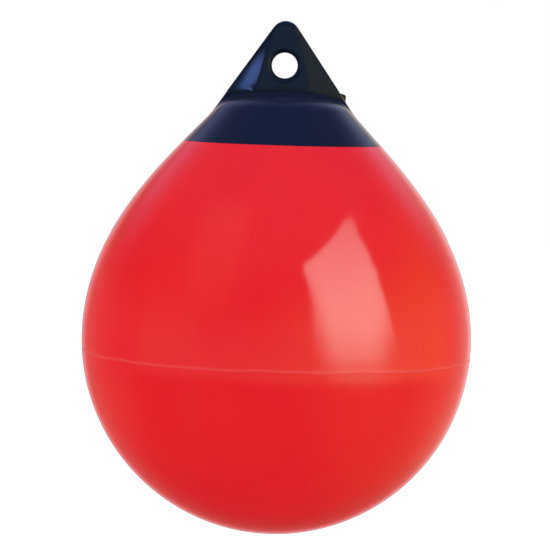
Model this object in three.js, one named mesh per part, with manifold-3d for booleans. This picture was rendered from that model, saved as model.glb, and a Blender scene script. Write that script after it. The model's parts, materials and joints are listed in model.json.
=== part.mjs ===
// An inflatable ball fender for mooring, as used between a boat and a quay.
// A soft red vinyl ball is drawn up to a short neck. A navy vinyl cap is moulded over the neck, flush with
// the ball, and rises to a thick triangular lug with a round eye for the rope. An air valve sits in a boss
// on the cap's shoulder: a rigid bush set in the vinyl, a screw plug with a slotted head, and a rubber ring
// that seals the head.
// Millimetres, +Z up. The origin is the centre of the rope eye, and +Y runs along the eye.

import * as THREE from "three";
import { mergeVertices } from "three/addons/utils/BufferGeometryUtils.js";
import Module from "manifold-3d";

const wasm = await Module();
wasm.setup();

const degrees = THREE.MathUtils.degToRad;

// Clearance between pieces that touch.
const FIT_GAP = 0.3;

// The ball.
const BALL_RADIUS = 260;
const EQUATOR_DROP = 366; // from the eye's centre down to the widest level
const BALL_WALL = 3.2;
const FLANK_RISE = 112; // how strongly the flank leaves the widest level straight up
const FLANK_PULL = 93; // how strongly it runs into the neck's cone
const PARTING_DROP = 18; // the mould's parting line, below the widest level
const PARTING_HEIGHT = 1.2;
const PARTING_WIDTH = 6;

// The neck's cone, and the colour line where the cap's edge meets the ball.
const NECK_ANGLE = degrees(43.3); // between the cone and the axis
const COLOUR_LINE_RADIUS = 131.5;
const COLOUR_LINE_DROP = 103;
const LAP_LENGTH = 26; // the stretch of neck under the cap's edge
const SCARF_LENGTH = 40; // the stretch below the colour line where the ball's wall thins again

// The cap's shell.
const CAP_EDGE = 5; // thickness where it laps the neck
const CAP_WALL = 10; // thickness above the neck
const DOME_DROP = 36.5; // from the eye's centre down to the top of the dome
const DOME_RADIUS = 290;
const SHOULDER_RADIUS = 50;

// The lug.
const LUG_TOP = 59;
const LUG_TIP_RADIUS = 19.4;
const LUG_HALF_ANGLE = degrees(34.7);
const LUG_THICKNESS = 44;
const LUG_EDGE_ROUND = 7;
const LUG_FILLET = 12; // where the lug's faces run out into the dome
const FLAT_HALF_WIDTH = 28; // the flat middle of each face, at the eye's level
const FLAT_SPREAD = degrees(15); // how far its sides lean from the vertical
const FACET_ANGLE = degrees(20); // the slope from the flat middle to the lug's edges
const EYE_RADIUS = 17;
const EYE_ROUND = 7;

// The air valve, on the cap's shoulder behind the lug's right edge.
const VALVE_AZIMUTH = degrees(32); // from +X towards +Y
const VALVE_TILT = degrees(78); // above the horizontal
const VALVE_RADIUS = 83; // from the fender's axis to the point where the valve's axis leaves the shoulder
const BOSS_MARGIN = 3.5; // how far the vinyl boss reaches round the bush's collar
const BOSS_HEIGHT = 2;
const BOSS_DEPTH = 23; // below the shoulder's surface
const POCKET_MARGIN = 1.5; // between the collar and the pocket cut for it in the shoulder
const BUSH_RADIUS = 8;
const BUSH_BARB = 1;
const BUSH_LENGTH = 20;
const COLLAR_FOOT_RADIUS = 12.5;
const COLLAR_TOP_RADIUS = 10.8;
const COLLAR_HEIGHT = 15;
const COLLAR_ROUND = 2;
const PLUG_HEAD_RADIUS = 8;
const PLUG_HEAD_HEIGHT = 5;
const PLUG_SHANK_RADIUS = 4;
const PLUG_SHANK_LENGTH = 18;
const PLUG_CHAMFER = 1;
const SLOT_WIDTH = 2.4;
const SLOT_DEPTH = 2.6;
const SEAL_SECTION_RADIUS = 1.2;

// How finely round stretches are divided.
const BALL_SIDES = 48;
const CAP_SIDES = 48;
const EYE_SIDES = 40;
const VALVE_SIDES = 24;

// Vectors of a profile: x is the distance from the axis, y the height.
const at = (radius, height) => new THREE.Vector2(radius, height);
const along = (point, direction, distance) => point.clone().addScaledVector(direction, distance);

function onCircle(centre, radius, angle) {
  return at(centre.x + radius * Math.cos(angle), centre.y + radius * Math.sin(angle));
}

function arc(centre, radius, from, to, steps) {
  const points = [];
  for (let i = 0; i <= steps; i++) {
    points.push(onCircle(centre, radius, THREE.MathUtils.lerp(from, to, i / steps)));
  }
  return points;
}

// A solid of revolution about Z. The profile runs anticlockwise round its material.
function turned(profile, sides) {
  return new THREE.LatheGeometry(profile, sides).rotateX(Math.PI / 2);
}

function solidOf(geometry) {
  const bare = geometry.clone();
  bare.deleteAttribute("normal");
  bare.deleteAttribute("uv");
  const merged = mergeVertices(bare, 1e-4);
  const corners = [];
  for (let i = 0; i < merged.index.count; i += 3) {
    const [a, b, c] = [0, 1, 2].map((k) => merged.index.getX(i + k));
    if (a !== b && b !== c && c !== a) corners.push(a, b, c);
  }
  return new wasm.Manifold(
    new wasm.Mesh({
      numProp: 3,
      vertProperties: Float32Array.from(merged.attributes.position.array),
      triVerts: Uint32Array.from(corners),
    }),
  );
}

function geometryOf(solid) {
  const mesh = solid.getMesh();
  const geometry = new THREE.BufferGeometry();
  geometry.setAttribute("position", new THREE.BufferAttribute(Float32Array.from(mesh.vertProperties), 3));
  geometry.setIndex(new THREE.BufferAttribute(Uint32Array.from(mesh.triVerts), 1));
  geometry.computeVertexNormals();
  return geometry;
}

// Where the cone runs: down and outwards along its surface, and out of it.
const coneDown = at(Math.sin(NECK_ANGLE), -Math.cos(NECK_ANGLE));
const coneOut = at(Math.cos(NECK_ANGLE), Math.sin(NECK_ANGLE));
const colourLine = at(COLOUR_LINE_RADIUS, -COLOUR_LINE_DROP);

// The ball's wall. It steps in at the colour line to leave room for the cap's edge, and its neck ends
// under the cap. Next to the step the wall is thick, and thins out below it.
const ballCentre = at(0, -EQUATOR_DROP);
const neckInset = CAP_EDGE + FIT_GAP;
const flank = new THREE.CubicBezierCurve(
  at(BALL_RADIUS, -EQUATOR_DROP),
  at(BALL_RADIUS, -EQUATOR_DROP + FLANK_RISE),
  along(colourLine, coneDown, FLANK_PULL),
  colourLine,
);

function bowl(radius, steps) {
  return arc(ballCentre, radius, -Math.PI / 2, 0, steps);
}

function bowlWithPartingLine() {
  const middle = -Math.asin(PARTING_DROP / BALL_RADIUS);
  const half = PARTING_WIDTH / 2 / BALL_RADIUS;
  return [
    ...arc(ballCentre, BALL_RADIUS, -Math.PI / 2, middle - half, 12),
    onCircle(ballCentre, BALL_RADIUS + PARTING_HEIGHT, middle),
    ...arc(ballCentre, BALL_RADIUS, middle + half, 0, 1),
  ];
}

function innerFlank(steps) {
  const thick = neckInset + BALL_WALL;
  const length = flank.getLength();
  const points = [];
  for (let i = 0; i <= steps; i++) {
    const share = i / steps;
    const toLine = (1 - share) * length;
    const thinned = THREE.MathUtils.smoothstep(toLine, 0, SCARF_LENGTH);
    const wall = THREE.MathUtils.lerp(thick, BALL_WALL, thinned);
    const tangent = flank.getTangentAt(share);
    points.push(along(flank.getPointAt(share), at(tangent.y, -tangent.x), -wall));
  }
  return points;
}

function ballShell() {
  const flankSteps = 11;
  const neckFoot = along(colourLine, coneOut, -neckInset);
  const neckEnd = along(neckFoot, coneDown, -LAP_LENGTH);
  const outside = [...bowlWithPartingLine(), ...flank.getSpacedPoints(flankSteps).slice(1)];
  const neck = [neckFoot, neckEnd, along(neckEnd, coneOut, -BALL_WALL)];
  const inside = [...bowl(BALL_RADIUS - BALL_WALL, 13), ...innerFlank(flankSteps).slice(1)];
  return turned([...outside, ...neck, ...inside.reverse()], BALL_SIDES);
}

// The cap's outline: a shallow dome, a rounded shoulder, and the neck's cone. The shoulder's centre lies
// at its radius from the cone, and touches the dome from inside.
const domeCentre = at(0, -DOME_DROP - DOME_RADIUS);
const shoulderCentre = findShoulderCentre();
const domeEnd = Math.atan2(shoulderCentre.y - domeCentre.y, shoulderCentre.x);

function findShoulderCentre() {
  const start = along(colourLine, coneOut, -SHOULDER_RADIUS);
  const fromDome = start.clone().sub(domeCentre);
  const reach = DOME_RADIUS - SHOULDER_RADIUS;
  const halfB = fromDome.dot(coneDown);
  const up = -halfB - Math.sqrt(halfB ** 2 - fromDome.lengthSq() + reach ** 2);
  return along(start, coneDown, up);
}

// The cap's outline at a depth below its surface, from the cone up to the axis.
function capOutline(depth) {
  return [
    ...arc(shoulderCentre, SHOULDER_RADIUS - depth, NECK_ANGLE, domeEnd, 5),
    ...arc(domeCentre, DOME_RADIUS - depth, domeEnd, Math.PI / 2, 4).slice(1),
  ];
}

// The height of the cap's surface at a distance from the axis.
function capHeight(radius) {
  const domeEdge = DOME_RADIUS * Math.cos(domeEnd);
  if (radius < domeEdge) return domeCentre.y + Math.sqrt(DOME_RADIUS ** 2 - radius ** 2);
  const coneTop = along(shoulderCentre, coneOut, SHOULDER_RADIUS);
  if (radius > coneTop.x) return coneTop.y - (radius - coneTop.x) / Math.tan(NECK_ANGLE);
  return shoulderCentre.y + Math.sqrt(SHOULDER_RADIUS ** 2 - (radius - shoulderCentre.x) ** 2);
}

function capShell() {
  const edge = along(colourLine, coneDown, -FIT_GAP);
  const edgeInside = along(edge, coneOut, -CAP_EDGE);
  const step = along(edgeInside, coneDown, -LAP_LENGTH);
  const stepInside = along(step, coneOut, CAP_EDGE - CAP_WALL);
  const underside = [edgeInside, step, stepInside, ...capOutline(CAP_WALL)];
  return turned([...underside.reverse(), edge, ...capOutline(0)], CAP_SIDES);
}

// What fills the cap up to the middle of its wall. Taken off the pieces that grow out of the wall, it keeps
// their roots out of the air space.
function capCore() {
  const outline = capOutline(CAP_WALL / 2);
  const low = lugRoot - 2 * CAP_WALL;
  const foot = along(outline[0], coneDown, (outline[0].y - low) / Math.cos(NECK_ANGLE));
  return turned([at(0, low), foot, ...outline], CAP_SIDES);
}

// The lug, built up from level sections. Each face is flat in the middle and slopes to the edges, and
// runs out into the dome with a fillet. The edges are rounded.
const tipCentre = LUG_TOP - LUG_TIP_RADIUS;
const tipTangent = tipCentre + LUG_TIP_RADIUS * Math.sin(LUG_HALF_ANGLE);
const tipPoint = tipCentre + LUG_TIP_RADIUS / Math.sin(LUG_HALF_ANGLE);

const lugSpread = Math.tan(LUG_HALF_ANGLE);
const lugRoot = findLugRoot();

// The lug's root lies a wall below the level where its slanted edges run into the cap's surface.
function findLugRoot() {
  const edgeHeight = (radius) => tipPoint - radius / lugSpread;
  let radius = 0;
  while (radius < COLOUR_LINE_RADIUS && edgeHeight(radius) > capHeight(radius)) radius += FIT_GAP;
  return capHeight(radius) - CAP_WALL;
}

function lugHalfWidth(z) {
  if (z < tipTangent) return (tipPoint - z) * lugSpread;
  return Math.sqrt(Math.max(0, LUG_TIP_RADIUS ** 2 - (z - tipCentre) ** 2));
}

// Half the thickness of the flat middle, rounded over at the top.
function lugMiddle(z) {
  const intoRound = Math.max(0, z - (LUG_TOP - LUG_EDGE_ROUND));
  return LUG_THICKNESS / 2 - LUG_EDGE_ROUND + Math.sqrt(LUG_EDGE_ROUND ** 2 - intoRound ** 2);
}

// How far the fillet stands proud of a face, at a height above the dome.
function filletReach(height) {
  const toTangent = LUG_FILLET - THREE.MathUtils.clamp(height, 0, LUG_FILLET);
  return LUG_FILLET - Math.sqrt(LUG_FILLET ** 2 - toTangent ** 2);
}

// One quarter of a section, from the middle of a face out to the edge.
function lugQuarter(z) {
  const width = lugHalfWidth(z);
  const middle = lugMiddle(z);
  const flat = Math.min(FLAT_HALF_WIDTH - z * Math.tan(FLAT_SPREAD), Math.max(0, width - LUG_EDGE_ROUND));
  const slopeTo = (x) => middle - Math.max(0, x - flat) * Math.cos(FLAT_SPREAD) * Math.tan(FACET_ANGLE);
  const edgeRound = Math.min(LUG_EDGE_ROUND, width, slopeTo(width));
  const roundStart = width - edgeRound;
  const edge = slopeTo(roundStart) - edgeRound;
  const facetMiddle = (flat + roundStart) / 2;
  const points = [
    at(0, middle),
    at(flat / 2, middle),
    at(flat, middle),
    at(facetMiddle, slopeTo(facetMiddle)),
    ...arc(at(roundStart, edge), edgeRound, Math.PI / 2, 0, 3),
  ];
  return points.map(({ x, y }) => {
    const fade = 1 - THREE.MathUtils.smoothstep(x / Math.max(width, 1), 0.75, 1);
    return [x, y + fade * filletReach(z - capHeight(Math.hypot(x, y)))];
  });
}

function lugLevels() {
  const filletTop = -DOME_DROP + LUG_FILLET;
  const evenly = (from, to, count) => {
    return Array.from({ length: count }, (_, i) => THREE.MathUtils.lerp(from, to, i / count));
  };
  const tip = arc(at(0, tipCentre), LUG_TIP_RADIUS, LUG_HALF_ANGLE, Math.PI / 2, 5);
  const straight = [...evenly(lugRoot, filletTop, 11), ...evenly(filletTop, tipTangent, 4)];
  return [...straight, ...tip.map((point) => point.y)];
}

function lugSection(z) {
  const quarter = lugQuarter(z);
  const front = quarter.map(([x, y]) => [x, -y, z]);
  const back = quarter.map(([x, y]) => [x, y, z]).reverse();
  const right = [...front, ...back];
  const left = right.slice(1, -1).reverse();
  return [...right, ...left.map(([x, y]) => [-x, y, z])];
}

function lug() {
  const sections = lugLevels().map(lugSection);
  const count = sections[0].length;
  const corners = [];
  for (let row = 0; row + 1 < sections.length; row++) {
    for (let i = 0; i < count; i++) {
      const a = row * count + i;
      const b = row * count + ((i + 1) % count);
      corners.push(a, b, b + count, a, b + count, a + count);
    }
  }
  for (let i = 1; i + 1 < count; i++) corners.push(0, i + 1, i);
  const geometry = new THREE.BufferGeometry();
  geometry.setAttribute("position", new THREE.Float32BufferAttribute(sections.flat(2), 3));
  geometry.setIndex(corners);
  return geometry;
}

// The tool that cuts the eye, with its rims rounded over to the lug's faces.
function eyeCutter() {
  const face = LUG_THICKNESS / 2;
  const outer = EYE_RADIUS + EYE_ROUND;
  const profile = [
    at(0, -2 * face),
    at(outer, -2 * face),
    ...arc(at(outer, EYE_ROUND - face), EYE_ROUND, 1.5 * Math.PI, Math.PI, 3),
    ...arc(at(outer, face - EYE_ROUND), EYE_ROUND, Math.PI, 0.5 * Math.PI, 3),
    at(outer, 2 * face),
    at(0, 2 * face),
  ];
  return new THREE.LatheGeometry(profile, EYE_SIDES);
}

// The valve's own frame: its origin is on the shoulder's surface, and +Z runs out along the valve.
const valveFrame = new THREE.Matrix4().compose(
  new THREE.Vector3(
    VALVE_RADIUS * Math.cos(VALVE_AZIMUTH),
    VALVE_RADIUS * Math.sin(VALVE_AZIMUTH),
    capHeight(VALVE_RADIUS),
  ),
  new THREE.Quaternion().setFromEuler(new THREE.Euler(0, Math.PI / 2 - VALVE_TILT, VALVE_AZIMUTH, "ZYX")),
  new THREE.Vector3(1, 1, 1),
);

function valveBoss() {
  const radius = COLLAR_FOOT_RADIUS + BOSS_MARGIN;
  const profile = [
    at(0, -BOSS_DEPTH),
    at(radius, -BOSS_DEPTH),
    at(radius, BOSS_HEIGHT - BOSS_MARGIN / 3),
    at(radius - BOSS_MARGIN / 3, BOSS_HEIGHT),
    at(0, BOSS_HEIGHT),
  ];
  return turned(profile, VALVE_SIDES).applyMatrix4(valveFrame);
}

// The part of the bush that is set in the vinyl: a barrel with two barbs that grip it, grown by a clearance.
const bushFoot = BOSS_HEIGHT - BUSH_LENGTH;

function barrel(clearance) {
  const radius = BUSH_RADIUS + clearance;
  const barb = (height) => [
    at(radius, height),
    at(radius + BUSH_BARB, height + BUSH_BARB),
    at(radius, height + 3 * BUSH_BARB),
  ];
  return [...barb(bushFoot + BUSH_LENGTH / 4), ...barb(bushFoot + BUSH_LENGTH / 2)];
}

// What the valve takes out of the cap: the barrel's hole, open at both ends, and a pocket for the collar.
function valveRoom() {
  const hole = BUSH_RADIUS + FIT_GAP;
  const pocket = COLLAR_FOOT_RADIUS + POCKET_MARGIN;
  const open = 2 * BOSS_DEPTH;
  const profile = [
    at(0, -open),
    at(hole, -open),
    ...barrel(FIT_GAP),
    at(hole, BOSS_HEIGHT),
    at(pocket, BOSS_HEIGHT),
    at(pocket, open),
    at(0, open),
  ];
  return turned(profile, VALVE_SIDES).applyMatrix4(valveFrame);
}

function ropeCap() {
  const rooted = solidOf(lug()).subtract(solidOf(capCore()));
  const solid = solidOf(capShell())
    .add(rooted)
    .subtract(solidOf(eyeCutter()))
    .add(solidOf(valveBoss()))
    .subtract(solidOf(valveRoom()));
  return geometryOf(solid);
}

// Heights in the valve's frame. The plug's head is flush with the collar, and presses the ring into its seat.
const collarFoot = BOSS_HEIGHT + FIT_GAP;
const collarTop = collarFoot + COLLAR_HEIGHT;
const headFoot = collarTop - PLUG_HEAD_HEIGHT;
const headSeat = headFoot - FIT_GAP;
const sealHeight = headSeat - SEAL_SECTION_RADIUS;
const sealRadius = PLUG_SHANK_RADIUS + FIT_GAP + SEAL_SECTION_RADIUS;

function valveBush() {
  const bore = PLUG_SHANK_RADIUS + FIT_GAP;
  const counterbore = PLUG_HEAD_RADIUS + FIT_GAP;
  const sealSeat = sealRadius + SEAL_SECTION_RADIUS + FIT_GAP;
  const sealFloor = sealHeight - SEAL_SECTION_RADIUS - FIT_GAP;
  const roundCentre = at(COLLAR_TOP_RADIUS - COLLAR_ROUND, collarTop - COLLAR_ROUND);
  const profile = [
    at(bore, bushFoot),
    at(BUSH_RADIUS, bushFoot),
    ...barrel(0),
    at(BUSH_RADIUS, collarFoot),
    at(COLLAR_FOOT_RADIUS, collarFoot),
    ...arc(roundCentre, COLLAR_ROUND, 0, Math.PI / 2, 3),
    at(counterbore, collarTop),
    at(counterbore, headSeat),
    at(sealSeat, headSeat),
    at(sealSeat, sealFloor),
    at(bore, sealFloor),
  ];
  return turned([...profile, profile[0]], VALVE_SIDES);
}

function sealRing() {
  const profile = arc(at(sealRadius, sealHeight), SEAL_SECTION_RADIUS, 0, 2 * Math.PI, 8);
  return turned(profile, VALVE_SIDES);
}

function valvePlug() {
  const tip = headFoot - PLUG_SHANK_LENGTH;
  const profile = [
    at(0, tip),
    at(PLUG_SHANK_RADIUS - PLUG_CHAMFER, tip),
    at(PLUG_SHANK_RADIUS, tip + PLUG_CHAMFER),
    at(PLUG_SHANK_RADIUS, headFoot),
    at(PLUG_HEAD_RADIUS, headFoot),
    at(PLUG_HEAD_RADIUS, collarTop - PLUG_CHAMFER),
    at(PLUG_HEAD_RADIUS - PLUG_CHAMFER, collarTop),
    at(0, collarTop),
  ];
  const slot = new THREE.BoxGeometry(4 * PLUG_HEAD_RADIUS, SLOT_WIDTH, 2 * SLOT_DEPTH);
  slot.translate(0, 0, collarTop);
  return geometryOf(solidOf(turned(profile, VALVE_SIDES)).subtract(solidOf(slot)));
}

const redVinyl = new THREE.MeshStandardMaterial({ color: 0xe3272d, roughness: 0.18, metalness: 0 });
const navyVinyl = new THREE.MeshStandardMaterial({ color: 0x18223c, roughness: 0.22, metalness: 0 });
const greyNylon = new THREE.MeshStandardMaterial({ color: 0x2b2c2e, roughness: 0.45, metalness: 0 });
const blackNylon = new THREE.MeshStandardMaterial({ color: 0x18181a, roughness: 0.4, metalness: 0 });
const blackRubber = new THREE.MeshStandardMaterial({ color: 0x0f0f10, roughness: 0.8, metalness: 0 });

function piece(name, geometry, material) {
  const mesh = new THREE.Mesh(geometry, material);
  mesh.name = name;
  return mesh;
}

const fender = new THREE.Group();
fender.add(piece("ball_shell", ballShell(), redVinyl));
fender.add(piece("rope_cap", ropeCap(), navyVinyl));

const valve = new THREE.Group();
valveFrame.decompose(valve.position, valve.quaternion, valve.scale);
valve.add(piece("valve_bush", valveBush(), greyNylon));
valve.add(piece("plug_seal", sealRing(), blackRubber));
valve.add(piece("valve_plug", valvePlug(), blackNylon));
fender.add(valve);

export default fender;
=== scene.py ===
"""The looks of an inflatable ball fender: a glossy red vinyl ball, a navy vinyl cap with a rope lug, and
an air valve on the cap's shoulder, hung in a white studio. Metres, +Z up, the origin in the rope eye."""

import json
import math

import bmesh
import bpy
from mathutils import Matrix, Vector
from mathutils.bvhtree import BVHTree


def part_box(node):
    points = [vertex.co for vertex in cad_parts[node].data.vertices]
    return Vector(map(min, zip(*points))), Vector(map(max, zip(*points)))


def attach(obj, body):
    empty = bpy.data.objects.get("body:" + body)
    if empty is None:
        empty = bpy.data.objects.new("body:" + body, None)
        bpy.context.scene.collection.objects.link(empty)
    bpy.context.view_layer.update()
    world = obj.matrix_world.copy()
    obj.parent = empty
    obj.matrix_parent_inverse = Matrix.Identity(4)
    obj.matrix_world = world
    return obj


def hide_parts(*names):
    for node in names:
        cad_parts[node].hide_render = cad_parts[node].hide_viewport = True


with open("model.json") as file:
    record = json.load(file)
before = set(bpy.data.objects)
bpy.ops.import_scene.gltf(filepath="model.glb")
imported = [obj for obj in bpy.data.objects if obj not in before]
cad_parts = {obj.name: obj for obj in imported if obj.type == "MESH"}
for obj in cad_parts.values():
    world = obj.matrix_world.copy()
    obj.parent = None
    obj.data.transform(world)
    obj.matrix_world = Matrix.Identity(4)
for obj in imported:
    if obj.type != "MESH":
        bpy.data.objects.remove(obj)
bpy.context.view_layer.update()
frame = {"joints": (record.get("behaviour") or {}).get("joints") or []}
scene = bpy.context.scene

MM = 0.001
VOXEL = 1.3 * MM

# The ball, from its node's box.
ball_low, ball_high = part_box("ball_shell")
BALL_RADIUS = ball_high[0]
BALL_BOTTOM = ball_low[2]
EQUATOR = BALL_BOTTOM + BALL_RADIUS
BALL_WALL = 3.2 * MM
FLANK_RISE = 112 * MM
FLANK_PULL = 93 * MM

# The mould's parting line under the equator: a low ridge, the scar where its flash was trimmed, which also
# carries a painted highlight of the ridge, and how far the line wanders on the soft skin.
PARTING_DROP = 18 * MM
PARTING_HEIGHT = 0.12 * MM
PARTING_WIDTH = 8 * MM
SCAR_AND_HIGHLIGHT_FADE = (0.4 * MM, 3.2 * MM)
WANDER = 5 * MM
WANDER_SIZE = 70 * MM
WANDER_FADE = (3 * MM, 24 * MM)

# The slow swell of the skin, which fades out on its way up to the colour line.
SWELL = 1.2 * MM
SWELL_SIZE = 220 * MM
SWELL_FADE = (60 * MM, 4 * MM)

# The neck's cone, the line where the two colours meet, and the lap of the cap over the neck.
NECK_ANGLE = math.radians(43.3)
COLOUR_LINE = (131.5 * MM, -103 * MM)
LAP_GAP = 0.3 * MM
CAP_EDGE = 5 * MM
CAP_WALL = 10 * MM
LAP_LENGTH = 26 * MM
DOME_TOP = -36.5 * MM
DOME_RADIUS = 290 * MM
SHOULDER_RADIUS = 50 * MM

# The lug. A face of it counts as a side or as a front by how far it looks along Y.
LUG_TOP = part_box("rope_cap")[1][2]
LUG_TIP_RADIUS = 19.4 * MM
LUG_HALF_ANGLE = math.radians(34.7)
LUG_THICKNESS = 44 * MM
LUG_ROOT = -74 * MM
LUG_EDGE_ROUND = 5.5 * MM
FLAT_HALF_WIDTH = 28 * MM
FLAT_SPREAD = math.radians(15)
FACET_ANGLE = math.radians(20)
EYE_RADIUS = 17 * MM
EYE_ROUND = 7 * MM
ROOT_FILLET = 14 * MM
SIDE_TILT = 0.1
FACE_TILT = 0.8

# The valve's frame: it stands on the shoulder, and the plug's joint gives its axis.
plug_turn = next(joint for joint in frame["joints"] if joint["name"] == "plug_turn")
VALVE_FOOT = Vector(plug_turn["pos_m"])
VALVE_AXIS = Vector(plug_turn["axis"]).normalized()

# The colours, each with the one that it clouds over to.
RED = ((0.72, 0.0095, 0.0175), (0.74, 0.0140, 0.0160))
NAVY = ((0.0036, 0.0076, 0.0165), (0.0046, 0.0090, 0.0205))
BLACK = ((0.003, 0.003, 0.002), (0.005, 0.005, 0.003))
DARK_GREY = ((0.02, 0.02, 0.018), (0.024, 0.024, 0.021))
RUBBER = ((0.006, 0.006, 0.006), (0.008, 0.008, 0.008))
# Painted paler along the parting line: partly the trimmed scar, partly a painted highlight of the ridge.
SCAR_AND_HIGHLIGHT_COLOUR = (0.74, 0.03, 0.035)
# A painted sheen: the paler blue painted on the cap's top in place of the light it catches there.
PAINTED_SHEEN_COLOUR = (0.015, 0.021, 0.052)


def start_fresh():
    if bpy.context.mode != "OBJECT":
        bpy.ops.object.mode_set(mode="OBJECT")
    bpy.ops.object.select_all(action="DESELECT")


def pick_up(piece):
    start_fresh()
    piece.select_set(True)
    bpy.context.view_layer.objects.active = piece


def name_new(name):
    piece = bpy.context.active_object
    piece.name = name
    piece.data.name = name
    return piece


def edit(piece):
    pick_up(piece)
    bpy.ops.object.mode_set(mode="EDIT")


def choose_edges(piece, wanted):
    """In edit mode, selects just the edges that a test picks out."""
    bpy.ops.mesh.select_mode(type="EDGE")
    bpy.ops.mesh.select_all(action="DESELECT")
    shape = bmesh.from_edit_mesh(piece.data)
    for edge in shape.edges:
        if wanted(edge):
            edge.select_set(True)
    shape.select_flush_mode()
    bmesh.update_edit_mesh(piece.data)


def modify(piece, kind, **settings):
    pick_up(piece)
    modifier = piece.modifiers.new(kind.lower(), kind)
    for setting, value in settings.items():
        setattr(modifier, setting, value)
    bpy.ops.object.modifier_apply(modifier=modifier.name)


def cut(piece, tool):
    modify(piece, "BOOLEAN", operation="DIFFERENCE", object=tool, solver="EXACT")
    bpy.data.objects.remove(tool)


def smooth(piece, angle):
    pick_up(piece)
    bpy.ops.object.shade_smooth_by_angle(angle=math.radians(angle))


def place_mesh(piece, matrix):
    """Moves a piece's mesh into place, and leaves its object at the origin."""
    piece.data.transform(matrix)
    piece.data.update()


def copy_of(piece, name):
    pick_up(piece)
    bpy.ops.object.duplicate()
    return name_new(name)


def on_circle(centre, radius, angle):
    return (centre[0] + radius * math.cos(angle), centre[1] + radius * math.sin(angle))


def arc(centre, radius, start, end, steps):
    return [on_circle(centre, radius, start + (end - start) * i / steps) for i in range(steps + 1)]


def step_from(point, direction, distance):
    return (point[0] + direction[0] * distance, point[1] + direction[1] * distance)


def bezier(a, b, c, d, steps):
    points = []
    for i in range(steps + 1):
        t = i / steps
        weights = ((1 - t) ** 3, 3 * t * (1 - t) ** 2, 3 * t * t * (1 - t), t ** 3)
        points.append(tuple(sum(w * p[k] for w, p in zip(weights, (a, b, c, d))) for k in (0, 1)))
    return points


def spun(name, outline, steps, closed=False):
    """A solid of revolution about Z: its outline is drawn by extruding one vertex, and then spun round."""
    start_fresh()
    first = (outline[0][0], 0, outline[0][1])
    bpy.ops.mesh.primitive_plane_add(size=MM, location=(0, 0, 0))
    piece = name_new(name)
    edit(piece)
    bpy.ops.mesh.select_mode(type="VERT")
    bpy.ops.mesh.select_all(action="SELECT")
    bpy.ops.mesh.merge(type="CENTER")
    bpy.ops.transform.translate(value=first)
    loop = outline + outline[:1] if closed else outline
    for here, there in zip(loop, loop[1:]):
        move = (there[0] - here[0], 0, there[1] - here[1])
        bpy.ops.mesh.extrude_vertices_move(TRANSFORM_OT_translate={"value": move})
    bpy.ops.mesh.select_all(action="SELECT")
    bpy.ops.mesh.spin(steps=steps, angle=math.tau, center=(0, 0, 0), axis=(0, 0, 1))
    bpy.ops.mesh.select_all(action="SELECT")
    bpy.ops.mesh.remove_doubles(threshold=0.001 * MM)
    bpy.ops.mesh.normals_make_consistent(inside=False)
    bpy.ops.object.mode_set(mode="OBJECT")
    return piece


# Directions down the cone and out of it, and the centres of the cap's arcs.
CONE_DOWN = (math.sin(NECK_ANGLE), -math.cos(NECK_ANGLE))
CONE_OUT = (math.cos(NECK_ANGLE), math.sin(NECK_ANGLE))
DOME_CENTRE = (0, DOME_TOP - DOME_RADIUS)


def shoulder_centre():
    """The shoulder's arc lies at its radius from the cone, and touches the dome from inside."""
    start = step_from(COLOUR_LINE, CONE_OUT, -SHOULDER_RADIUS)
    away = (start[0] - DOME_CENTRE[0], start[1] - DOME_CENTRE[1])
    reach = DOME_RADIUS - SHOULDER_RADIUS
    half = away[0] * CONE_DOWN[0] + away[1] * CONE_DOWN[1]
    up = -half - math.sqrt(half ** 2 - away[0] ** 2 - away[1] ** 2 + reach ** 2)
    return step_from(start, CONE_DOWN, up)


SHOULDER_CENTRE = shoulder_centre()
DOME_END = math.atan2(SHOULDER_CENTRE[1] - DOME_CENTRE[1], SHOULDER_CENTRE[0])


def cap_outline(depth, shoulder_steps, dome_steps):
    """The cap's outline at a depth below its surface, from the top of the cone to the axis."""
    shoulder = arc(SHOULDER_CENTRE, SHOULDER_RADIUS - depth, NECK_ANGLE, DOME_END, shoulder_steps)
    dome = arc(DOME_CENTRE, DOME_RADIUS - depth, DOME_END, math.pi / 2, dome_steps)
    return shoulder + dome[1:]


def flank(steps):
    return bezier(
        (BALL_RADIUS, EQUATOR),
        (BALL_RADIUS, EQUATOR + FLANK_RISE),
        step_from(COLOUR_LINE, CONE_DOWN, FLANK_PULL),
        COLOUR_LINE,
        steps,
    )


def ball():
    """The vinyl ball, with the parting line of its mould and a neck that runs up under the cap."""
    centre = (0, EQUATOR)
    parting = -math.asin(PARTING_DROP / BALL_RADIUS)
    half = PARTING_WIDTH / 2 / BALL_RADIUS
    ridge = []
    for across in (-1, -0.75, -0.5, -0.25, 0, 0.25, 0.5, 0.75, 1):
        rise = PARTING_HEIGHT * math.cos(across * math.pi / 2) ** 2
        ridge.append(on_circle(centre, BALL_RADIUS + rise, parting + across * half))
    clear_of_ridge = 1.6 * half
    bowl = arc(centre, BALL_RADIUS, -math.pi / 2, parting - clear_of_ridge, steps=84)
    band = arc(centre, BALL_RADIUS, parting + clear_of_ridge, 0, steps=7)
    foot = step_from(COLOUR_LINE, CONE_OUT, -CAP_EDGE - LAP_GAP)
    neck_end = step_from(foot, CONE_DOWN, -LAP_LENGTH)
    inner_neck = step_from(neck_end, CONE_OUT, -BALL_WALL)
    thick = step_from(step_from(foot, CONE_OUT, -BALL_WALL), CONE_DOWN, CAP_WALL)
    inner_flank = bezier(
        thick,
        step_from(thick, CONE_DOWN, FLANK_PULL - CAP_WALL),
        (BALL_RADIUS - BALL_WALL, EQUATOR + FLANK_RISE),
        (BALL_RADIUS - BALL_WALL, EQUATOR),
        steps=20,
    )
    inner_bowl = arc(centre, BALL_RADIUS - BALL_WALL, 0, -math.pi / 2, steps=20)
    outline = bowl + ridge + band + flank(steps=72)[1:] + [foot, neck_end, inner_neck]
    return spun("ball_skin", outline + inner_flank + inner_bowl[1:], steps=256)


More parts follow.
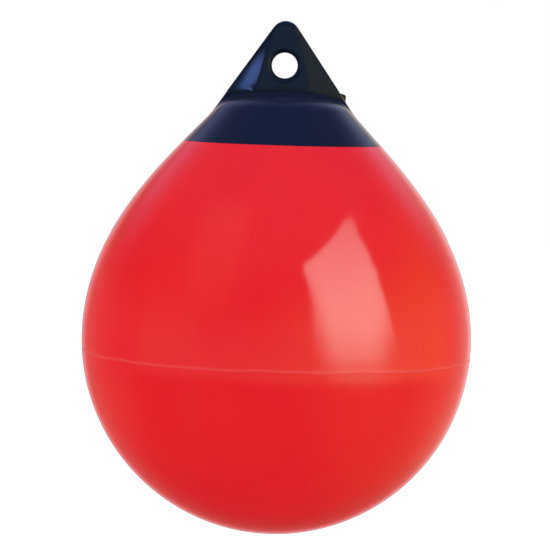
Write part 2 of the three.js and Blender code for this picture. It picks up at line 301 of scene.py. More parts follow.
def weigh(piece, name, weight):
    """A vertex group whose weight is worked out from each vertex's place."""
    group = piece.vertex_groups.new(name=name)
    for vertex in piece.data.vertices:
        share = weight(vertex.co)
        if share > 0:
            group.add([vertex.index], min(share, 1), "REPLACE")


def ramp(value, start, end):
    share = min(max((value - start) / (end - start), 0), 1)
    return share * share * (3 - 2 * share)


def sway(piece, name, size, **settings):
    """Pushes the weighted part of a piece to and fro by a cloudy pattern."""
    pattern = bpy.data.textures.new(name, "CLOUDS")
    pattern.noise_scale = size
    modify(piece, "DISPLACE", texture=pattern, mid_level=0.5, **settings)


def soften_ball(piece):
    """Soft vinyl is never quite even: the parting line wanders a little, and the skin swells by a hair. The
    scar along the line, with a painted highlight of its ridge, is marked before it moves."""
    level = EQUATOR - PARTING_DROP
    trim_and_highlight = piece.data.attributes.new("trim_and_highlight", "FLOAT", "POINT")
    for vertex, mark in zip(piece.data.vertices, trim_and_highlight.data):
        mark.value = 1 - ramp(abs(vertex.co.z - level), *SCAR_AND_HIGHLIGHT_FADE)
    under_cap = [COLOUR_LINE[1] - drop for drop in SWELL_FADE]
    weigh(piece, "parting", lambda at: 1 - ramp(abs(at.z - level), *WANDER_FADE))
    weigh(piece, "skin", lambda at: 1 - ramp(at.z, *under_cap))
    sway(piece, "parting_wander", WANDER_SIZE, direction="Z", strength=WANDER, vertex_group="parting")
    sway(piece, "skin_swell", SWELL_SIZE, direction="NORMAL", strength=SWELL, vertex_group="skin")
    piece.vertex_groups.clear()


def facet_normal(side, face):
    """Where one of the lug's four facets looks: to the right or left, and to the back or front."""
    return Vector((
        side * math.cos(FLAT_SPREAD) * math.sin(FACET_ANGLE),
        face * math.cos(FACET_ANGLE),
        math.sin(FLAT_SPREAD) * math.sin(FACET_ANGLE),
    ))


def at_corner(edge):
    """Whether an edge of the lug lies between a side, or the eye's wall, and a front."""
    if len(edge.link_faces) != 2:
        return False
    tilts = sorted(abs(face.normal.y) for face in edge.link_faces)
    return tilts[0] < SIDE_TILT and tilts[1] > FACE_TILT


def lug():
    """A block cut to a triangle, its tip rounded, its faces sloped away from a flat middle, its edges
    rounded, and the eye bored through."""
    start_fresh()
    tip_point = LUG_TOP - LUG_TIP_RADIUS + LUG_TIP_RADIUS / math.sin(LUG_HALF_ANGLE)
    spare = 5 * MM
    height = tip_point - LUG_ROOT + spare
    bpy.ops.mesh.primitive_cube_add(size=1)
    piece = name_new("lug")
    edit(piece)
    bpy.ops.transform.resize(value=(2 * height, LUG_THICKNESS, height))
    bpy.ops.transform.translate(value=(0, 0, tip_point - height / 2 + MM))
    for side in (1, -1):
        bpy.ops.mesh.select_all(action="SELECT")
        bpy.ops.mesh.bisect(
            plane_co=(0, 0, tip_point),
            plane_no=(side * math.cos(LUG_HALF_ANGLE), 0, math.sin(LUG_HALF_ANGLE)),
            use_fill=True,
            clear_outer=True,
        )
    choose_edges(piece, lambda edge: all(v.co.z > tip_point - MM for v in edge.verts))
    tangent = LUG_TIP_RADIUS / math.tan(LUG_HALF_ANGLE)
    cut_back = LUG_TIP_RADIUS / math.sin(LUG_HALF_ANGLE) - LUG_TIP_RADIUS
    round_tip = (1 - cut_back / (2 * tangent * math.cos(LUG_HALF_ANGLE))) ** 2
    bpy.ops.mesh.bevel(offset=tangent, segments=32, profile=round_tip, affect="EDGES")
    for side in (1, -1):
        for face in (1, -1):
            bpy.ops.mesh.select_all(action="SELECT")
            bpy.ops.mesh.bisect(
                plane_co=(side * FLAT_HALF_WIDTH, face * LUG_THICKNESS / 2, 0),
                plane_no=facet_normal(side, face),
                use_fill=True,
                clear_outer=True,
            )
    bpy.ops.mesh.select_all(action="SELECT")
    bpy.ops.mesh.remove_doubles(threshold=0.01 * MM)

    def on_rim(edge):
        return at_corner(edge) and all(v.co.z >= LUG_ROOT + MM for v in edge.verts)

    choose_edges(piece, on_rim)
    bpy.ops.mesh.bevel(offset=LUG_EDGE_ROUND, segments=16, affect="EDGES", clamp_overlap=False)
    bpy.ops.object.mode_set(mode="OBJECT")

    reach = 50 * MM
    bore = spun("bore", [(0, -reach), (EYE_RADIUS, -reach), (EYE_RADIUS, reach), (0, reach)], steps=192)
    place_mesh(bore, Matrix.Rotation(math.pi / 2, 4, "X"))
    cut(piece, bore)
    edit(piece)

    def on_eye(edge):
        off_bore = (abs(math.hypot(v.co.x, v.co.z) - EYE_RADIUS) for v in edge.verts)
        return at_corner(edge) and all(distance < 0.2 * MM for distance in off_bore)

    choose_edges(piece, on_eye)
    bpy.ops.mesh.bevel(offset=EYE_ROUND, segments=12, affect="EDGES", clamp_overlap=False)
    bpy.ops.object.mode_set(mode="OBJECT")
    return piece


def cap_body():
    """The shoulder and dome as a solid, a little longer than the cap, to be cut to its wall later."""
    spare = 8 * MM
    below = step_from(COLOUR_LINE, CONE_DOWN, spare)
    outline = [(0, below[1]), below] + cap_outline(0, shoulder_steps=40, dome_steps=40)
    return spun("cap_body", outline, steps=512)


def cap_hollow():
    """What is cut from the cap: the neck's room, the air space, and all below the colour line."""
    lip = step_from(COLOUR_LINE, CONE_DOWN, -LAP_GAP)
    spare = 20 * MM
    outside = step_from(lip, CONE_OUT, spare)
    edge_inside = step_from(lip, CONE_OUT, -CAP_EDGE)
    step = step_from(edge_inside, CONE_DOWN, -LAP_LENGTH)
    step_inside = step_from(step, CONE_OUT, CAP_EDGE - CAP_WALL)
    foot = (outside[0], COLOUR_LINE[1] - 2 * spare)
    outline = [(0, foot[1]), foot, outside, edge_inside, step, step_inside]
    return spun("cap_hollow", outline + cap_outline(CAP_WALL, shoulder_steps=8, dome_steps=8), steps=128)


# The valve, in its own frame: Z runs out along the valve from the shoulder's surface.
BOSS_RADIUS = 16 * MM
BOSS_HEIGHT = 2 * MM
BOSS_FOOT = -18 * MM
POCKET_RADIUS = 14 * MM
BARREL_RADIUS = 8 * MM
BARREL_FOOT = BOSS_HEIGHT - 20 * MM
BARB_HEIGHTS = (5 * MM, 10 * MM)
BARB_LENGTH = 3 * MM
BARB_RISE = MM


def valve_frame():
    turn = Vector((0, 0, 1)).rotation_difference(VALVE_AXIS)
    return Matrix.Translation(VALVE_FOOT) @ turn.to_matrix().to_4x4()


def boss():
    outline = [(0, BOSS_FOOT), (BOSS_RADIUS, BOSS_FOOT), (BOSS_RADIUS, BOSS_HEIGHT), (0, BOSS_HEIGHT)]
    piece = spun("boss", outline, steps=96)
    place_mesh(piece, valve_frame())
    return piece


def barrel(gap):
    """The barrel's outline with its two barbs, grown by a gap, from its foot up to the boss."""
    radius = BARREL_RADIUS + gap
    outline = [(radius, BARREL_FOOT)]
    for height in (BARREL_FOOT + rise for rise in BARB_HEIGHTS):
        barb = (radius + BARB_RISE, height + BARB_RISE)
        outline += [(radius, height), barb, (radius, height + BARB_LENGTH)]
    return outline


def valve_room():
    """What is cut from the cap for the valve: a hole for its barrel, and clear space over the boss."""
    hole = BARREL_RADIUS + LAP_GAP
    reach = 50 * MM
    outline = [(0, -reach), (hole, -reach)] + barrel(LAP_GAP) + [
        (hole, BOSS_HEIGHT), (POCKET_RADIUS, BOSS_HEIGHT), (POCKET_RADIUS, reach), (0, reach),
    ]
    piece = spun("valve_room", outline, steps=96)
    place_mesh(piece, valve_frame())
    return piece


def nearness(piece):
    """Gives how far a point is from a piece's surface."""
    pick_up(piece)
    tree = BVHTree.FromObject(piece, bpy.context.evaluated_depsgraph_get())
    return lambda at: tree.find_nearest(at)[3]


# How near a vertex lies to the surface it came from, and the rings round the valve's foot in which the
# shoulder's hold on the vertices and the fillet's smoothing set in.
ON_SURFACE = 0.7 * MM
HOLD_RING = (20 * MM, 24 * MM)
FILLET_RING = (18 * MM, 26 * MM)


def cap():
    """The one-piece cap: the lug, the shoulder and the valve's boss run into each other as moulded vinyl
    does, and the wall, the lap and the valve's seat are then cut clean."""
    shoulder = cap_body()
    plate = lug()
    piece = copy_of(shoulder, "cap_skin")
    extra = [copy_of(plate, "plate_copy"), boss()]
    pick_up(piece)
    for other in extra:
        other.select_set(True)
    bpy.context.view_layer.objects.active = piece
    bpy.ops.object.join()
    modify(piece, "REMESH", mode="VOXEL", voxel_size=VOXEL)
    from_shoulder = nearness(shoulder)
    from_plate = nearness(plate)
    clear = (0.55 * ROOT_FILLET, ROOT_FILLET)

    def off_valve(at, ring):
        return ramp((at - VALVE_FOOT).length, *ring)

    def shells(at):
        return ramp(from_plate(at), *clear) * off_valve(at, HOLD_RING)

    def plates(at):
        return ramp(from_shoulder(at), *clear)

    def roots(at):
        return (1 - max(shells(at), plates(at))) * off_valve(at, FILLET_RING)

    weigh(piece, "shell", lambda at: shells(at) if from_shoulder(at) < ON_SURFACE else 0)
    weigh(piece, "plate", lambda at: plates(at) if from_plate(at) < ON_SURFACE else 0)
    weigh(piece, "root", roots)
    modify(piece, "SMOOTH", factor=0.5, iterations=2)
    modify(piece, "SMOOTH", factor=0.5, iterations=90, vertex_group="root")
    for target, group in ((shoulder, "shell"), (plate, "plate")):
        modify(piece, "SHRINKWRAP", target=target, wrap_method="NEAREST_SURFACEPOINT", vertex_group=group)
    modify(piece, "SMOOTH", factor=0.5, iterations=4)
    piece.vertex_groups.clear()
    bpy.data.objects.remove(shoulder)
    bpy.data.objects.remove(plate)
    cut(piece, cap_hollow())
    cut(piece, valve_room())
    smooth(piece, 40)
    return piece


# The valve's pieces.
COLLAR_FOOT_RADIUS = 12.5 * MM
COLLAR_TOP_RADIUS = 10.8 * MM
COLLAR_FOOT = BOSS_HEIGHT + LAP_GAP
COLLAR_TOP = COLLAR_FOOT + 15 * MM
HEAD_RADIUS = 8 * MM
HEAD_FOOT = COLLAR_TOP - 5 * MM
SHANK_RADIUS = 4 * MM
SHANK_LENGTH = 18 * MM
SEAL_RADIUS = 1.2 * MM
# The shank's ridges: their depth, their distance, the plain length at either end, and one ridge's outline.
THREAD_DEPTH = 0.5 * MM
THREAD_PITCH = 2 * MM
THREAD_END = 1.5 * MM
THREAD_RIDGE = ((0, 0), (THREAD_DEPTH, 0.7 * MM), (THREAD_DEPTH, 1.0 * MM), (0, 1.7 * MM))
SLOT_SIZE = (40 * MM, 2.4 * MM, 5.2 * MM)


def on_valve(piece):
    place_mesh(piece, valve_frame())
    smooth(piece, 35)
    return piece


def bush():
    """The black insert: a tapered collar that stands out of the cap, and a barrel with two barbs."""
    bore = SHANK_RADIUS + LAP_GAP
    well = HEAD_RADIUS + LAP_GAP
    floor = HEAD_FOOT - LAP_GAP
    seat = bore + 2 * SEAL_RADIUS + LAP_GAP
    seat_floor = floor - 2 * SEAL_RADIUS - LAP_GAP
    brim, rim, edge = 2 * MM, 0.5 * MM, 0.6 * MM
    top = arc((COLLAR_TOP_RADIUS - brim, COLLAR_TOP - brim), brim, 0, math.pi / 2, steps=10)
    lip = arc((well + rim, COLLAR_TOP - rim), rim, math.pi / 2, math.pi, steps=5)
    heel = arc((COLLAR_FOOT_RADIUS - edge, COLLAR_FOOT + edge), edge, -math.pi / 2, 0, steps=5)
    outline = [(bore, BARREL_FOOT)] + barrel(0) + [(BARREL_RADIUS, COLLAR_FOOT)]
    outline += heel + top + lip + [(well, floor), (seat, floor), (seat, seat_floor), (bore, seat_floor)]
    return on_valve(spun("bush_body", outline, steps=96, closed=True))


def seal():
    start_fresh()
    bpy.ops.mesh.primitive_torus_add(
        major_radius=SHANK_RADIUS + LAP_GAP + SEAL_RADIUS,
        minor_radius=SEAL_RADIUS,
        major_segments=96,
        minor_segments=24,
        location=(0, 0, HEAD_FOOT - LAP_GAP - SEAL_RADIUS),
    )
    piece = name_new("seal_ring")
    pick_up(piece)
    bpy.ops.object.transform_apply()
    return on_valve(piece)


def plug():
    """The screw plug: a slotted head, slightly crowned, and a shank with ridges in place of a thread."""
    tip = HEAD_FOOT - SHANK_LENGTH
    edge, crown = 0.7 * MM, 0.4 * MM
    head = arc((HEAD_RADIUS - edge, COLLAR_TOP - edge), edge, 0, math.pi / 2, steps=6)
    root = SHANK_RADIUS - THREAD_DEPTH
    outline = [(0, tip), (root - 0.4 * MM, tip), (root, tip + 0.5 * MM)]
    height = tip + THREAD_END
    while height + THREAD_PITCH < HEAD_FOOT - THREAD_END:
        outline += [(root + out, height + rise) for out, rise in THREAD_RIDGE]
        height += THREAD_PITCH
    outline += [(root, HEAD_FOOT), (HEAD_RADIUS, HEAD_FOOT)] + head + [(0, COLLAR_TOP + crown)]
    piece = spun("plug_body", outline, steps=96)
    start_fresh()
    bpy.ops.mesh.primitive_cube_add(size=1, location=(0, 0, COLLAR_TOP), scale=SLOT_SIZE)
    cut(piece, name_new("slot"))
    return on_valve(piece)


# Materials.


def add(tree, kind, **settings):
    """A shader node, with its plain settings by name and its socket values by label."""
    node = tree.nodes.new(kind)
    for setting, value in settings.pop("sockets", {}).items():
        node.inputs[setting].default_value = value
    for setting, value in settings.items():
        setattr(node, setting, value)
    return node


def soft(tree, value, start, end):
    """A soft step from 0 at its start to 1 at its end; they may lie either way round."""
    step = add(tree, "ShaderNodeMapRange", interpolation_type="SMOOTHSTEP", sockets={
        "From Min": min(start, end), "From Max": max(start, end),
        "To Min": float(end < start), "To Max": float(start < end),
    })
    tree.links.new(value, step.inputs["Value"])
    return step.outputs["Result"]


def vinyl_skin():
    """Moulded vinyl: cloudy colour, faint wipe marks in the gloss, and the ripple of the mould's skin."""
    tree = bpy.data.node_groups.new("vinyl_skin", "ShaderNodeTree")
    face = tree.interface
    for label, kind, default in (
        ("Colour", "NodeSocketColor", (0.5, 0.5, 0.5, 1)),
        ("Cloud Colour", "NodeSocketColor", (0.5, 0.5, 0.5, 1)),
        ("Gloss", "NodeSocketFloat", 0.2),
        ("Wipe Marks", "NodeSocketFloat", 0.05),
        ("Ripple", "NodeSocketFloat", 0.1),
    ):
        face.new_socket(label, in_out="INPUT", socket_type=kind).default_value = default
    face.new_socket("Colour", in_out="OUTPUT", socket_type="NodeSocketColor")
    face.new_socket("Roughness", in_out="OUTPUT", socket_type="NodeSocketFloat")
    face.new_socket("Normal", in_out="OUTPUT", socket_type="NodeSocketVector")
    given = add(tree, "NodeGroupInput")
    out = add(tree, "NodeGroupOutput")
    place = add(tree, "ShaderNodeTexCoord").outputs["Object"]
    link = tree.links.new

    clouds = add(tree, "ShaderNodeTexNoise", sockets={"Scale": 7, "Detail": 4, "Roughness": 0.55})
    shade = add(tree, "ShaderNodeMapRange", sockets={"From Min": 0.35, "From Max": 0.7})
    mix = add(tree, "ShaderNodeMix", data_type="RGBA")
    link(place, clouds.inputs["Vector"])
    link(clouds.outputs["Fac"], shade.inputs["Value"])
    link(shade.outputs["Result"], mix.inputs["Factor"])
    link(given.outputs["Colour"], mix.inputs["A"])
    link(given.outputs["Cloud Colour"], mix.inputs["B"])
    link(mix.outputs["Result"], out.inputs["Colour"])

    streaks = add(tree, "ShaderNodeMapping", sockets={"Scale": (14, 14, 3), "Rotation": (0.5, 0.3, 0)})
    wipes = add(tree, "ShaderNodeTexNoise", sockets={"Scale": 1.6, "Detail": 5, "Distortion": 0.6})
    marked = add(tree, "ShaderNodeMapRange", sockets={"From Min": 0.5, "From Max": 0.75})
    duller = add(tree, "ShaderNodeMath", operation="MULTIPLY_ADD")
    link(place, streaks.inputs["Vector"])
    link(streaks.outputs["Vector"], wipes.inputs["Vector"])
    link(wipes.outputs["Fac"], marked.inputs["Value"])
    link(marked.outputs["Result"], duller.inputs[0])
    link(given.outputs["Wipe Marks"], duller.inputs[1])
    link(given.outputs["Gloss"], duller.inputs[2])
    link(duller.outputs["Value"], out.inputs["Roughness"])

    ripple = add(tree, "ShaderNodeTexNoise", sockets={"Scale": 420, "Detail": 2})
    bump = add(tree, "ShaderNodeBump", sockets={"Distance": 0.2 * MM})
    link(place, ripple.inputs["Vector"])
    link(ripple.outputs["Fac"], bump.inputs["Height"])
    link(given.outputs["Ripple"], bump.inputs["Strength"])
    link(bump.outputs["Normal"], out.inputs["Normal"])
    return tree


def finish_of(name):
    """A new material and its Principled shader."""
    material = bpy.data.materials.new(name)
    material.use_nodes = True
    return material, material.node_tree, material.node_tree.nodes["Principled BSDF"]


def vinyl(name, skin, colours, roughness, wipes, ripple, level=0.5, tint=(1, 1, 1)):
    """A moulded plastic: its colours, its roughness and what wipe marks add to it, the ripple of its skin,
    and the level and tint of its gloss."""
    material, tree, shader = finish_of(name)
    look = add(tree, "ShaderNodeGroup", node_tree=skin)
    look.inputs["Colour"].default_value = (*colours[0], 1)
    look.inputs["Cloud Colour"].default_value = (*colours[1], 1)
    look.inputs["Gloss"].default_value = roughness
    look.inputs["Wipe Marks"].default_value = wipes
    look.inputs["Ripple"].default_value = ripple
    tree.links.new(look.outputs["Colour"], shader.inputs["Base Color"])
    tree.links.new(look.outputs["Roughness"], shader.inputs["Roughness"])
    tree.links.new(look.outputs["Normal"], shader.inputs["Normal"])
    shader.inputs["IOR"].default_value = 1.5
    shader.inputs["Specular IOR Level"].default_value = level
    shader.inputs["Specular Tint"].default_value = (*tint, 1)
    return material


def shift_towards(material, mask, colour, roughness):
    """Turns a material's colour and roughness towards these where the mask is bright; it carries the
    painted sheen and the scar's painted highlight.
    """
    tree = material.node_tree
    shader = tree.nodes["Principled BSDF"]
    for label, goal in (("Base Color", colour), ("Roughness", (roughness, roughness, roughness))):
        mix = add(tree, "ShaderNodeMix", data_type="RGBA")
        mix.inputs["B"].default_value = (*goal, 1)
        tree.links.new(mask, mix.inputs["Factor"])
        tree.links.new(shader.inputs[label].links[0].from_socket, mix.inputs["A"])
        tree.links.new(mix.outputs["Result"], shader.inputs[label])


def show_trim_and_highlight(material):
    """Along the parting line the flash has been trimmed away: the vinyl there is duller, and painted paler,
    partly as the trimmed scar and partly as a painted highlight of the ridge.
    """
    mark = add(material.node_tree, "ShaderNodeAttribute", attribute_name="trim_and_highlight")
    shift_towards(material, mark.outputs["Fac"], SCAR_AND_HIGHLIGHT_COLOUR, roughness=0.3)


def show_painted_sheen(material):
    """Where the cap's surface faces up, the vinyl gets a painted sheen: it is painted a paler blue, and
    made duller.
    """
    tree = material.node_tree
    split = add(tree, "ShaderNodeSeparateXYZ")
    tree.links.new(add(tree, "ShaderNodeNewGeometry").outputs["Normal"], split.inputs["Vector"])
    shift_towards(material, soft(tree, split.outputs["Z"], 0.76, 1.0), PAINTED_SHEEN_COLOUR, roughness=0.4)


def wear(piece, material):
    piece.data.materials.clear()
    piece.data.materials.append(material)


def ride_on(piece, body, node, material):
    wear(piece, material)
    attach(piece, body)
    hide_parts(node)


# The photograph's frame, and where the camera stands.
FRAME_PIXELS = 550
LENS = 200
SENSOR = 36
CAMERA_DISTANCE = 4.0855
CAMERA_RISE = math.radians(4.0)
CAMERA_ROLL = math.radians(1.79)
AIM = Vector((0, 0, -0.284))
AIM_PIXEL = (278.1, 278.4)


def camera():
    data = bpy.data.cameras.new("camera")
    data.lens = LENS
    data.sensor_width = SENSOR
    data.shift_x = 0.5 - AIM_PIXEL[0] / FRAME_PIXELS
    data.shift_y = AIM_PIXEL[1] / FRAME_PIXELS - 0.5
    data.clip_end = 60
    watcher = bpy.data.objects.new("camera", data)
    back = Vector((0, -math.cos(CAMERA_RISE), math.sin(CAMERA_RISE)))
    level = (-back).to_track_quat("-Z", "Y").to_matrix()
    turn = level @ Matrix.Rotation(CAMERA_ROLL, 3, "Z")
    watcher.matrix_world = Matrix.Translation(AIM + back * CAMERA_DISTANCE) @ turn.to_4x4()
    scene.collection.objects.link(watcher)
    scene.camera = watcher


# The lamps: where each one stands, the side of its square, its watts and its colour.
LAMPS = {
    "right": ((3.4, -1.4, 0.6), 2.4, 25, (1.0, 1.12, 0.75)),
    "left": ((-3.4, -1.4, 0.6), 2.4, 25, (1.0, 0.8, 1.2)),
    "front": ((0.6, -4.2, 1.2), 2.2, 18, (1, 1, 1)),
    "back_right": ((2.6, 2.6, 0.6), 2.0, 8, (1, 1, 1)),
    "back_left": ((-2.6, 2.6, 0.6), 2.0, 8, (1, 1, 1)),
}


def lamp(name, place, side, power, colour):
    """A soft square light aimed at the fender; it has no mirror image in the gloss."""
    data = bpy.data.lights.new(name, "AREA")
    data.shape = "RECTANGLE"
    data.size = data.size_y = side
    data.energy = power
    data.color = colour
    light = bpy.data.objects.new(name, data)
    light.location = place
    light.rotation_mode = "QUATERNION"
    light.rotation_quaternion = (AIM - Vector(place)).to_track_quat("-Z", "Y")
    light.visible_glossy = False
    light.visible_camera = False
    scene.collection.objects.link(light)


def view_ray(pixel):
    """From the camera through a pixel of the photograph's frame."""
    focal = FRAME_PIXELS * LENS / SENSOR
    ray = Vector((pixel[0] - AIM_PIXEL[0], AIM_PIXEL[1] - pixel[1], -focal))
    stand = scene.camera.matrix_world
    return stand.translation.copy(), (stand.to_3x3() @ ray).normalized()


def bounce(tree, pixel, facing):
    """Where the ray through a pixel meets a piece, and the way it leaves it."""
    eye, ray = view_ray(pixel)
    at, normal = tree.ray_cast(eye, ray)[:2]
    normal = facing(at, normal)
    return at, ray - 2 * ray.dot(normal) * normal


def on_ball(at, normal):
    """The ball's own roundness, without the ridge of the parting line."""
    return (at - Vector((0, 0, EQUATOR))).normalized() if at.z < EQUATOR else normal


def on_left_facet(at, normal):
    """The facet's own flatness, without the ripple of the remeshed skin."""
    return facet_normal(-1, -1)


def glowing_material(name, colour):
    """Glows as much as its UV map says, and hides nothing that lies behind it."""
    material = bpy.data.materials.new(name)
    material.use_nodes = True
    tree = material.node_tree
    tree.nodes.clear()
    link = tree.links.new
    place = add(tree, "ShaderNodeUVMap", uv_map="glow")
    split = add(tree, "ShaderNodeSeparateXYZ")
    glow = add(tree, "ShaderNodeEmission", sockets={"Color": (*colour, 1)})
    clear = add(tree, "ShaderNodeBsdfTransparent")
    both = add(tree, "ShaderNodeAddShader")
    out = add(tree, "ShaderNodeOutputMaterial")
    link(place.outputs["UV"], split.inputs["Vector"])
    link(split.outputs["X"], glow.inputs["Strength"])
    link(glow.outputs["Emission"], both.inputs[0])
    link(clear.outputs["BSDF"], both.inputs[1])
    link(both.outputs["Shader"], out.inputs["Surface"])
    return material


# How far from the skin a panel stands: a near one has a sharper image in the gloss.
FAR = 3
NEAR = 0.25


def panel(name, piece, facing, image, colour, distance=FAR, steps=16):
    """A glowing panel seen only in one piece's gloss. Its image is laid out in the camera's pixels, row by
    row: the height, the left and right ends, the glow inside and at the two ends, and how much of the width
    lies between the two."""
    tree = BVHTree.FromObject(piece, bpy.context.evaluated_depsgraph_get())
    shape = bmesh.new()
    glow_map = shape.loops.layers.uv.new("glow")
    rows = []
    for height, left, right, inside, at_ends, blur in image:
        row = []
        for step in range(steps + 1):
            at, way = bounce(tree, (left + (right - left) * step / steps, height), facing)
            full = ramp(min(step, steps - step) / steps, 0, blur)
            glow = at_ends + (inside - at_ends) * full
            row.append((shape.verts.new(at + way * distance), glow))
        rows.append(row)
    for upper, lower in zip(rows, rows[1:]):
        for i in range(steps):
            corners = (upper[i], upper[i + 1], lower[i + 1], lower[i])
            face = shape.faces.new([corner for corner, glow in corners])
            for loop, (corner, glow) in zip(face.loops, corners):
                loop[glow_map].uv = (glow, 0)
    mesh = bpy.data.meshes.new(name)
    shape.to_mesh(mesh)
    shape.free()
    glowing = bpy.data.objects.new(name, mesh)
    scene.collection.objects.link(glowing)
    glowing.visible_camera = False
    glowing.visible_diffuse = False
    glowing.visible_shadow = False
    watched = bpy.data.collections.new(name + "_shines_on")
    watched.objects.link(piece)
    glowing.light_linking.receiver_collection = watched
    wear(glowing, glowing_material(name, colour))


# The softbox on the right, whose image is sharp at the top and fades out above the parting line.
SOFTBOX = (
    (217, 349, 351, 2.4, 2.2, 0.1), (222, 345, 353, 2.6, 2.4, 0.1), (236, 334, 358, 3.2, 2.8, 0.1),
    (256, 315, 369, 4.0, 3.6, 0.1), (264, 306, 373, 4.4, 3.8, 0.1), (270, 305, 375, 4.6, 3.9, 0.1),
    (285, 308, 380, 4.9, 3.9, 0.15), (305, 312, 387, 5.3, 3.6, 0.2), (325, 314, 392, 5.2, 2.0, 0.25),
    (342, 312, 396, 4.2, 0.6, 0.3), (356, 312, 398, 2.9, 0.1, 0.35), (370, 314, 400, 1.4, 0, 0.4),
    (384, 318, 400, 0.4, 0, 0.4), (396, 324, 398, 0, 0, 0.4),
)
# The faint image of a second softbox on the left.
SECOND_SOFTBOX = (
    (196, 214, 250, 0, 0, 0.3), (206, 208, 250, 0.22, 0.1, 0.3), (225, 196, 250, 0.3, 0.1, 0.3),
    (250, 188, 250, 0.32, 0.1, 0.3), (275, 184, 248, 0.28, 0.05, 0.3), (300, 184, 238, 0.2, 0, 0.4),
    (325, 188, 228, 0, 0, 0.4),
)
# The strip light in the lug's left facet, brighter along its left side.
STRIP = (
    (50, 262, 266, 0.3, 0.1, 0.3), (56, 259, 265.5, 1.0, 0.5, 0.25), (62, 255.5, 265, 1.4, 0.9, 0.2),
    (68, 252, 264, 1.5, 1.0, 0.2), (74, 249, 261.5, 1.5, 1.0, 0.2), (80, 246.5, 258, 1.5, 1.0, 0.2),
    (85, 243.5, 252, 1.5, 1.0, 0.2), (89, 239.5, 245.5, 1.3, 0.6, 0.3), (92, 237, 241, 0.4, 0.1, 0.3),
)
BRIGHT_SIDE = (
    (56, 258, 260.5, 0.6, 0.1, 0.4), (62, 254.5, 257.5, 1.4, 0.4, 0.4), (72, 249, 252, 2.2, 0.7, 0.4),
    (80, 245, 248, 2.4, 0.8, 0.4), (88, 239, 242, 2.0, 0.6, 0.4), (91, 236.5, 239, 0.8, 0.2, 0.4),
)
SOFTBOX_COLOUR = (0.6, 1.0, 0.92)
SECOND_SOFTBOX_COLOUR = (1.0, 0.85, 0.4)
STRIP_COLOUR = (1.6, 2.4, 3.2)

# The room, with its floor well under the fender. Matt surfaces get the same light from all sides, and the
# gloss sees dim walls with these glows on them. A glow has a colour and one or more masks, and a mask runs
# from dark to bright along one direction: x to the right, y to the back, z up, aside to either side, or the
# height over a horizon that climbs a little towards the back.
FLOOR = -1.35
FLOOR_SIZE = 40
ROOM_LIGHT = (0.93, 0.93, 0.93, 1)
WALLS = (0.05, 0.05, 0.055, 1)
HORIZON_CLIMB = 0.08
OVER_HORIZON = ("over_horizon", -0.33, -0.19)
GLOWS = (
    ((0.26, 0.40, 0.32), OVER_HORIZON, ("z", 0.5, -0.2), ("y", 0.3, -0.3)),
    ((0.14, 0.16, 0.36), ("z", 0.3, 1.0)),
    ((0.24, 0.18, 0.04), ("z", 0.0, -0.4), ("x", 0.1, 0.8)),
    ((0.50, 0.15, 0.13), ("z", 0.35, 0.05), ("z", -0.8, -0.3), ("y", -0.1, 0.4), ("y", 1.0, 0.90)),
    ((0.70, 0.60, 0.06), OVER_HORIZON, ("x", -0.3, 1.0), ("y", 0.8, 0.1), ("z", 0.75, 0.2)),
    ((0.30, 0.34, 0.66), ("y", 0.3, 0.9), ("z", 0.2, 0.5), ("aside", 0.1, 0.4)),
    ((0.60, 0.46, 0.50), ("y", 0.84, 1.0)),
    ((0.06, 0.05, 0.04), ("y", 0.2, 0.9)),
    ((0.24, 0.30, 0.26), ("y", 0.5, 0.95), ("x", -0.1, 0.4), ("z", -0.6, 0.0)),
)


def with_glow(tree, below, colour, masks):
    """Adds a colour where all its masks are bright."""
    mask = masks[0]
    for other in masks[1:]:
        product = add(tree, "ShaderNodeMath", operation="MULTIPLY")
        tree.links.new(mask, product.inputs[0])
        tree.links.new(other, product.inputs[1])
        mask = product.outputs["Value"]
    mix = add(tree, "ShaderNodeMix", data_type="RGBA", blend_type="ADD", clamp_factor=False)
    mix.inputs["B"].default_value = (*colour, 1)
    tree.links.new(below, mix.inputs["A"])
    tree.links.new(mask, mix.inputs["Factor"])
    return mix.outputs["Result"]


def world_light():
    """The room round the fender: white to the camera, even to matt surfaces, and glowing in the gloss."""
    world = bpy.data.worlds.new("studio")
    scene.world = world
    world.use_nodes = True
    tree = world.node_tree
    tree.nodes.clear()
    split = add(tree, "ShaderNodeSeparateXYZ")
    tree.links.new(add(tree, "ShaderNodeTexCoord").outputs["Generated"], split.inputs["Vector"])
    x, y, z = split.outputs
    aside = add(tree, "ShaderNodeMath", operation="ABSOLUTE")
    tree.links.new(x, aside.inputs[0])
    over = add(tree, "ShaderNodeMath", operation="MULTIPLY_ADD", sockets={1: -HORIZON_CLIMB})
    tree.links.new(y, over.inputs[0])
    tree.links.new(z, over.inputs[2])
    ways = {"x": x, "y": y, "z": z, "aside": aside.outputs["Value"], "over_horizon": over.outputs["Value"]}
    walls = add(tree, "ShaderNodeRGB")
    walls.outputs["Color"].default_value = WALLS
    look = walls.outputs["Color"]
    for colour, *masks in GLOWS:
        fades = [soft(tree, ways[way], dark, bright) for way, dark, bright in masks]
        look = with_glow(tree, look, colour, fades)
    path = add(tree, "ShaderNodeLightPath")
    even = add(tree, "ShaderNodeMix", data_type="RGBA")
    even.inputs["B"].default_value = ROOM_LIGHT
    tree.links.new(look, even.inputs["A"])
    tree.links.new(path.outputs["Is Diffuse Ray"], even.inputs["Factor"])
    seen = add(tree, "ShaderNodeMix", data_type="RGBA")
    seen.inputs["B"].default_value = (1, 1, 1, 1)
    sky = add(tree, "ShaderNodeBackground")
    out = add(tree, "ShaderNodeOutputWorld")
    tree.links.new(even.outputs["Result"], seen.inputs["A"])
    tree.links.new(path.outputs["Is Camera Ray"], seen.inputs["Factor"])
    tree.links.new(seen.outputs["Result"], sky.inputs["Color"])
    tree.links.new(sky.outputs["Background"], out.inputs["Surface"])


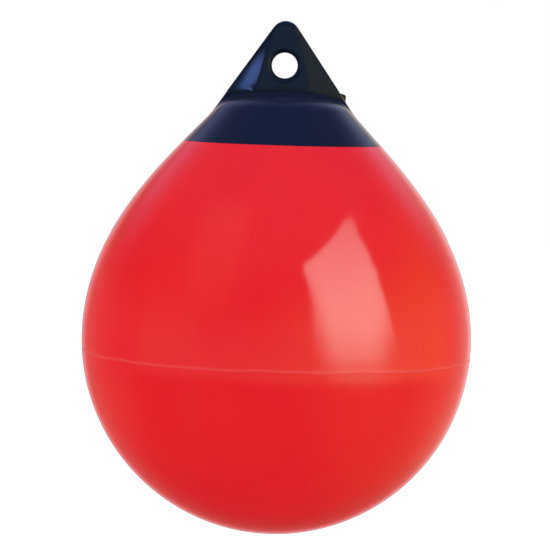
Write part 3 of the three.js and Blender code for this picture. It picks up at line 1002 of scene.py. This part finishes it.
def floor():
    """White to the camera, like the room; the gloss doesn't see it."""
    start_fresh()
    bpy.ops.mesh.primitive_plane_add(size=FLOOR_SIZE, location=(0, 0, FLOOR))
    piece = name_new("floor")
    material, tree, shader = finish_of("floor_paint")
    shader.inputs["Base Color"].default_value = (0.9, 0.9, 0.9, 1)
    shader.inputs["Roughness"].default_value = 0.9
    shader.inputs["Specular IOR Level"].default_value = 0.2
    shader.inputs["Emission Color"].default_value = (1, 1, 1, 1)
    path = add(tree, "ShaderNodeLightPath")
    tree.links.new(path.outputs["Is Camera Ray"], shader.inputs["Emission Strength"])
    wear(piece, material)
    piece.visible_glossy = False


def studio(ball_skin, cap_skin):
    world_light()
    floor()
    panel("softbox", ball_skin, on_ball, SOFTBOX, SOFTBOX_COLOUR)
    panel("second_softbox", ball_skin, on_ball, SECOND_SOFTBOX, SECOND_SOFTBOX_COLOUR)
    panel("strip", cap_skin, on_left_facet, STRIP, STRIP_COLOUR, distance=NEAR)
    panel("bright_side", cap_skin, on_left_facet, BRIGHT_SIDE, STRIP_COLOUR, distance=NEAR)
    for name, settings in LAMPS.items():
        lamp(name, *settings)


def dress():
    """Makes every piece with its material, and says which body it rides on and which node it replaces."""
    skin = vinyl_skin()
    red = vinyl("red_vinyl", skin, RED, roughness=0.1, wipes=0.06, ripple=0.02)
    navy = vinyl(
        "navy_vinyl", skin, NAVY, roughness=0.1, wipes=0.06, ripple=0.03, level=0.6, tint=(0.40, 0.45, 1),
    )
    # The red's trim scar carries a painted highlight of the parting ridge.
    show_trim_and_highlight(red)
    # The navy's top gets a painted sheen.
    show_painted_sheen(navy)
    black = vinyl("black_nylon", skin, BLACK, roughness=0.42, wipes=0.1, ripple=0.2, level=0.2)
    dark = vinyl("plug_nylon", skin, DARK_GREY, roughness=0.38, wipes=0.1, ripple=0.2)
    rubber = vinyl("black_rubber", skin, RUBBER, roughness=0.7, wipes=0.1, ripple=0.3)
    ball_skin = ball()
    soften_ball(ball_skin)
    smooth(ball_skin, 40)
    ride_on(ball_skin, "root", "ball_shell", red)
    cap_skin = cap()
    ride_on(cap_skin, "root", "rope_cap", navy)
    ride_on(bush(), "root", "valve_bush", black)
    ride_on(seal(), "seal", "plug_seal", rubber)
    ride_on(plug(), "plug", "valve_plug", dark)
    return ball_skin, cap_skin


scene.view_settings.view_transform = "Standard"
camera()
studio(*dress())
